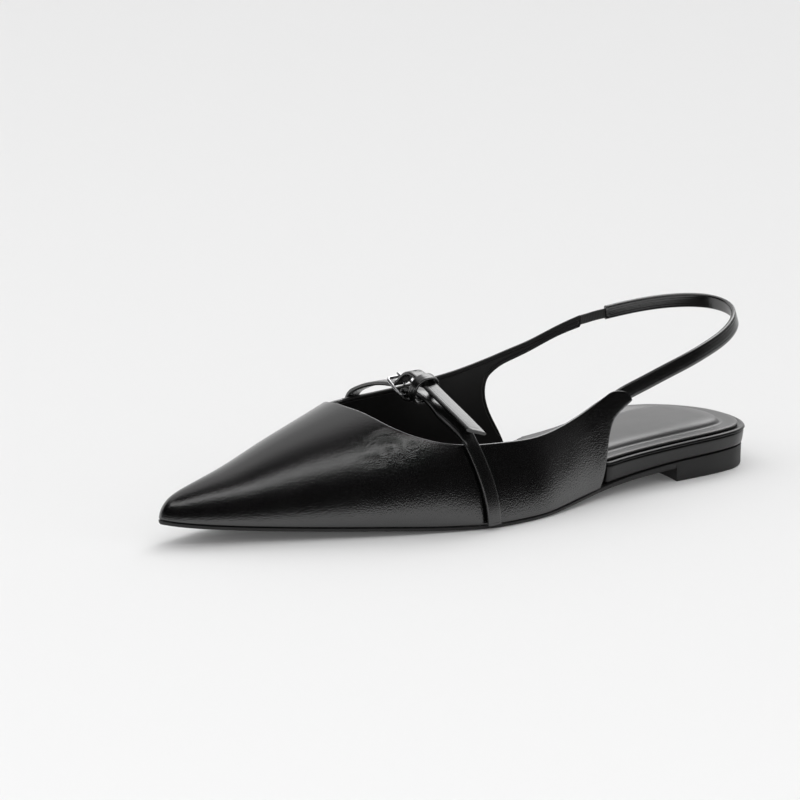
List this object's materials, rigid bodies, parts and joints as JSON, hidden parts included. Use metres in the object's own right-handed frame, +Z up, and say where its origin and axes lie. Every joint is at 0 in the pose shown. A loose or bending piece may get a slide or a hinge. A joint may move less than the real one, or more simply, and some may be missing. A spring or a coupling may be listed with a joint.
{
  "type": "pointed toe sandal",
  "caption": "Left pointed toe flat sandal with an open heel: hollow leather upper, buckled instep strap, slingback with an elastic gore, padded sock and low block heel.",
  "frame": {"origin": "middle of the bounding box on the floor plane", "axes": "+X from the toe to the heel, +Y to the inner side of the foot, +Z up"},
  "size_m": [0.2706, 0.086, 0.0613],
  "materials": {
    "black_leather": "smooth nappa, satin",
    "sock_leather": "smooth lining leather, satin",
    "black_elastic": "ribbed elastic, matt",
    "black_rubber": "moulded, matt",
    "polished_metal": "polished"
  },
  "bodies": {
    "root": {"upper": "black_leather", "platform": "black_leather", "strap_lateral": "black_leather", "strap_medial": "black_leather", "slingback_strap": "black_leather", "keeper": "black_leather", "insole": "sock_leather", "elastic": "black_elastic", "outsole": "black_rubber", "heel": "black_rubber", "buckle_frame": "polished_metal", "buckle_prong": "polished_metal"}
  },
  "joints": []
}
